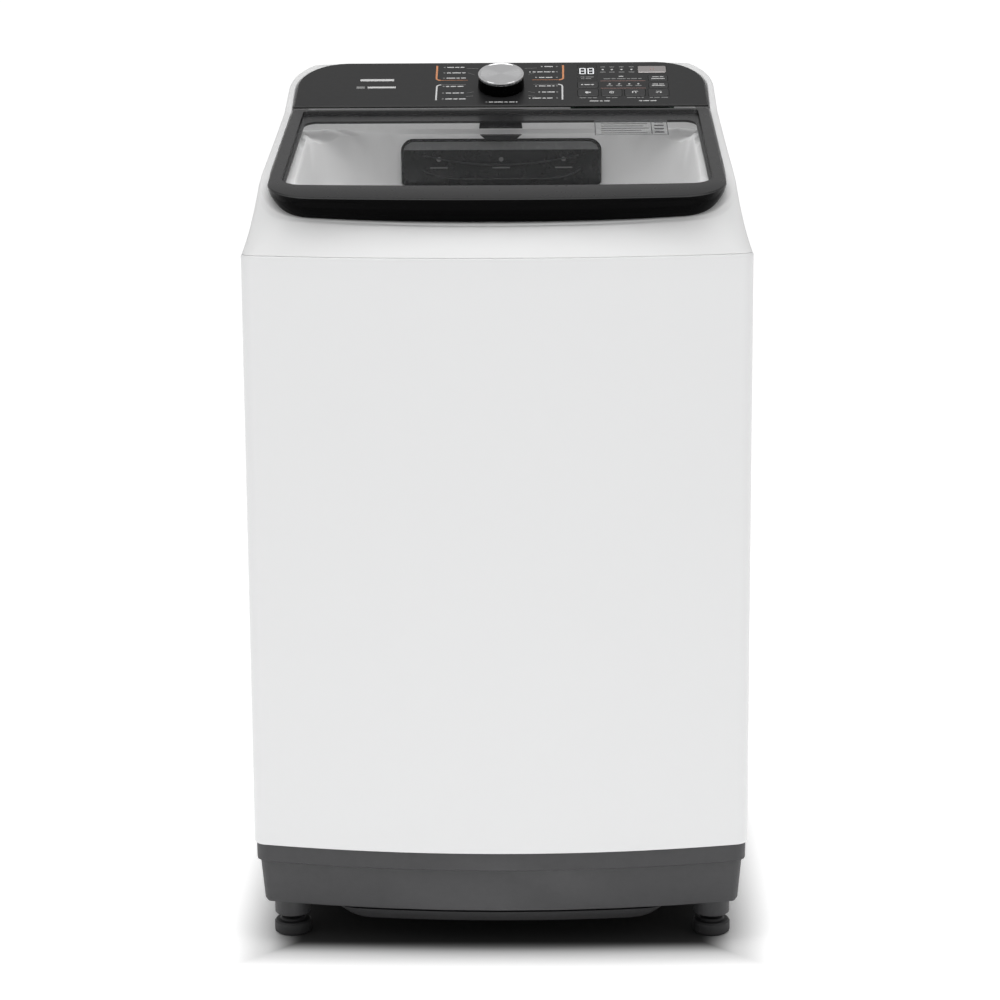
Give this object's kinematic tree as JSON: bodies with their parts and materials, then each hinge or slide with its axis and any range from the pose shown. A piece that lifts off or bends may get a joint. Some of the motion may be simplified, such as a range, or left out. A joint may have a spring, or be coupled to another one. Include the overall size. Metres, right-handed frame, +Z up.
{
  "type": "top load washing machine",
  "caption": "Top-loading washing machine: bowed sheet cabinet on a dark base, glazed sloping lid, rear control panel with knob and keys, hung tub and drum.",
  "frame": {"origin": "on the floor under the middle of the cabinet", "axes": "+X to the machine's right as seen from the front, +Y to the back, +Z up"},
  "size_m": [0.59, 0.6, 1.0319],
  "materials": {
    "cabinet_shell": "white painted sheet",
    "rear_panel": "galvanised sheet",
    "base_frame": "dark grey matte plastic",
    "base_tray": "dark grey matte plastic",
    "top_cover": "white satin plastic",
    "control_panel": "satin black",
    "display_window": "smoked",
    "control_board": "printed board",
    "inlet_valve": "moulded plastic",
    "water_chute": "moulded plastic",
    "dispenser_housing": "moulded plastic",
    "drain_outlet": "rubber",
    "cord_gland": "rubber",
    "tub": "moulded plastic",
    "tub_cover": "moulded plastic",
    "clutch_housing": "die cast",
    "tub_bracket": "galvanised",
    "motor": "painted motor",
    "drain_pump": "moulded plastic",
    "drain_hose": "rubber",
    "drive_belt": "rubber",
    "basket": "stainless",
    "balance_ring": "moulded plastic",
    "lint_filter_left": "moulded plastic",
    "lint_filter_right": "moulded plastic",
    "pulsator": "moulded plastic",
    "wash_shaft": "ground",
    "drive_pulley": "die cast",
    "motor_pulley": "turned",
    "lid_frame": "gloss black",
    "lid_glass": "tempered glass",
    "hinge_pin_left": "turned",
    "hinge_pin_right": "turned",
    "lid_bumper_left": "rubber",
    "lid_bumper_right": "rubber",
    "knob_body": "gloss black",
    "knob_cap": "spun metal",
    "dispenser_drawer": "smoked translucent plastic",
    "key_1": "satin black",
    "key_2": "satin black",
    "key_3": "satin black",
    "key_4": "satin black",
    "key_left": "satin black",
    "key_right_low": "satin black",
    "key_right_high": "satin black",
    "key_bar": "satin",
    "foot_front_left": "rubber and steel",
    "foot_rear_left": "rubber and steel",
    "foot_front_right": "rubber and steel",
    "foot_rear_right": "rubber and steel",
    "suspension_rod_1": "zinc plated steel",
    "suspension_spring_1": "spring steel",
    "suspension_rod_2": "zinc plated steel",
    "suspension_spring_2": "spring steel",
    "suspension_rod_3": "zinc plated steel",
    "suspension_spring_3": "spring steel",
    "suspension_rod_4": "zinc plated steel",
    "suspension_spring_4": "spring steel"
  },
  "bodies": {
    "cabinet": {"cabinet_shell": "cabinet_shell", "rear_panel": "rear_panel", "base_frame": "base_frame", "base_tray": "base_tray", "top_cover": "top_cover", "control_panel": "control_panel", "display_window": "display_window", "control_board": "control_board", "inlet_valve": "inlet_valve", "water_chute": "water_chute", "dispenser_housing": "dispenser_housing", "drain_outlet": "drain_outlet", "cord_gland": "cord_gland", "foot_rear_left": "foot_rear_left", "foot_rear_right": "foot_rear_right", "suspension_rod_1": "suspension_rod_1", "suspension_rod_2": "suspension_rod_2", "suspension_rod_3": "suspension_rod_3", "suspension_rod_4": "suspension_rod_4", "suspension_spring_1": "suspension_spring_1", "suspension_spring_2": "suspension_spring_2", "suspension_spring_3": "suspension_spring_3", "suspension_spring_4": "suspension_spring_4"},
    "tub_group": {"tub": "tub", "tub_cover": "tub_cover", "clutch_housing": "clutch_housing", "tub_bracket": "tub_bracket", "motor": "motor", "drain_pump": "drain_pump", "drain_hose": "drain_hose", "drive_belt": "drive_belt"},
    "drum_group": {"basket": "basket", "balance_ring": "balance_ring", "lint_filter_left": "lint_filter_left", "lint_filter_right": "lint_filter_right"},
    "pulsator_group": {"pulsator": "pulsator", "wash_shaft": "wash_shaft", "drive_pulley": "drive_pulley"},
    "motor_rotor": {"motor_pulley": "motor_pulley"},
    "lid": {"lid_frame": "lid_frame", "lid_glass": "lid_glass", "hinge_pin_left": "hinge_pin_left", "hinge_pin_right": "hinge_pin_right", "lid_bumper_left": "lid_bumper_left", "lid_bumper_right": "lid_bumper_right"},
    "knob": {"knob_body": "knob_body", "knob_cap": "knob_cap"},
    "drawer": {"dispenser_drawer": "dispenser_drawer"},
    "front_foot_left": {"foot_front_left": "foot_front_left"},
    "front_foot_right": {"foot_front_right": "foot_front_right"},
    "key_1_body": {"key_1": "key_1"},
    "key_2_body": {"key_2": "key_2"},
    "key_3_body": {"key_3": "key_3"},
    "key_4_body": {"key_4": "key_4"},
    "key_left_body": {"key_left": "key_left"},
    "key_right_low_body": {"key_right_low": "key_right_low"},
    "key_right_high_body": {"key_right_high": "key_right_high"},
    "key_bar_body": {"key_bar": "key_bar"}
  },
  "joints": [
    {"name": "tub_float", "type": "slide", "parent": "cabinet", "child": "tub_group", "axis": [0, 0, 1], "range_m": [-0.012, 0.012], "stiffness_N_per_m": 24000, "springref_m": 0.0125, "deforming": ["suspension_spring_1", "suspension_spring_2", "suspension_spring_3", "suspension_spring_4"]},
    {"name": "drum_spin", "type": "hinge", "parent": "tub_group", "child": "drum_group", "pos_m": [0, 0, 0.5], "axis": [0, 0, 1], "continuous": true},
    {"name": "pulsator_spin", "type": "hinge", "parent": "tub_group", "child": "pulsator_group", "pos_m": [0, 0, 0.3], "axis": [0, 0, 1], "continuous": true},
    {"name": "motor_spin", "type": "hinge", "parent": "tub_group", "child": "motor_rotor", "pos_m": [-0.16, 0.06, 0.15], "axis": [0, 0, 1], "continuous": true},
    {"name": "lid_hinge", "type": "hinge", "parent": "cabinet", "child": "lid", "pos_m": [0, 0.046, 0.96681], "axis": [-1, 0, 0], "range_deg": [0, 80]},
    {"name": "knob_turn", "type": "hinge", "parent": "cabinet", "child": "knob", "pos_m": [0, 0.11185, 1.00276], "axis": [0, -0.3971, 0.9178], "continuous": true},
    {"name": "drawer_slide", "type": "slide", "parent": "cabinet", "child": "drawer", "axis": [0, -1, 0], "range_m": [0, 0.085]},
    {"name": "key_1_press", "type": "slide", "parent": "cabinet", "child": "key_1_body", "axis": [0, 0.3971, -0.9178], "range_m": [0, 0.001], "stiffness_N_per_m": 900, "springref_m": -0.0006},
    {"name": "key_2_press", "type": "slide", "parent": "cabinet", "child": "key_2_body", "axis": [0, 0.3971, -0.9178], "range_m": [0, 0.001], "stiffness_N_per_m": 900, "springref_m": -0.0006},
    {"name": "key_3_press", "type": "slide", "parent": "cabinet", "child": "key_3_body", "axis": [0, 0.3971, -0.9178], "range_m": [0, 0.001], "stiffness_N_per_m": 900, "springref_m": -0.0006},
    {"name": "key_4_press", "type": "slide", "parent": "cabinet", "child": "key_4_body", "axis": [0, 0.3971, -0.9178], "range_m": [0, 0.001], "stiffness_N_per_m": 900, "springref_m": -0.0006},
    {"name": "key_left_press", "type": "slide", "parent": "cabinet", "child": "key_left_body", "axis": [0, 0.3971, -0.9178], "range_m": [0, 0.001], "stiffness_N_per_m": 900, "springref_m": -0.0006},
    {"name": "key_right_low_press", "type": "slide", "parent": "cabinet", "child": "key_right_low_body", "axis": [0, 0.3971, -0.9178], "range_m": [0, 0.001], "stiffness_N_per_m": 900, "springref_m": -0.0006},
    {"name": "key_right_high_press", "type": "slide", "parent": "cabinet", "child": "key_right_high_body", "axis": [0, 0.3971, -0.9178], "range_m": [0, 0.001], "stiffness_N_per_m": 900, "springref_m": -0.0006},
    {"name": "key_bar_press", "type": "slide", "parent": "cabinet", "child": "key_bar_body", "axis": [0, 0.3971, -0.9178], "range_m": [0, 0.001], "stiffness_N_per_m": 900, "springref_m": -0.0006},
    {"name": "front_foot_left_level", "type": "slide", "parent": "cabinet", "child": "front_foot_left", "axis": [0, 0, 1], "range_m": [-0.01, 0.005]},
    {"name": "front_foot_right_level", "type": "slide", "parent": "cabinet", "child": "front_foot_right", "axis": [0, 0, 1], "range_m": [-0.01, 0.005]}
  ],
  "couplings": [
    {"joint": "motor_spin", "follows": "pulsator_spin", "ratio": 4.6477}
  ]
}
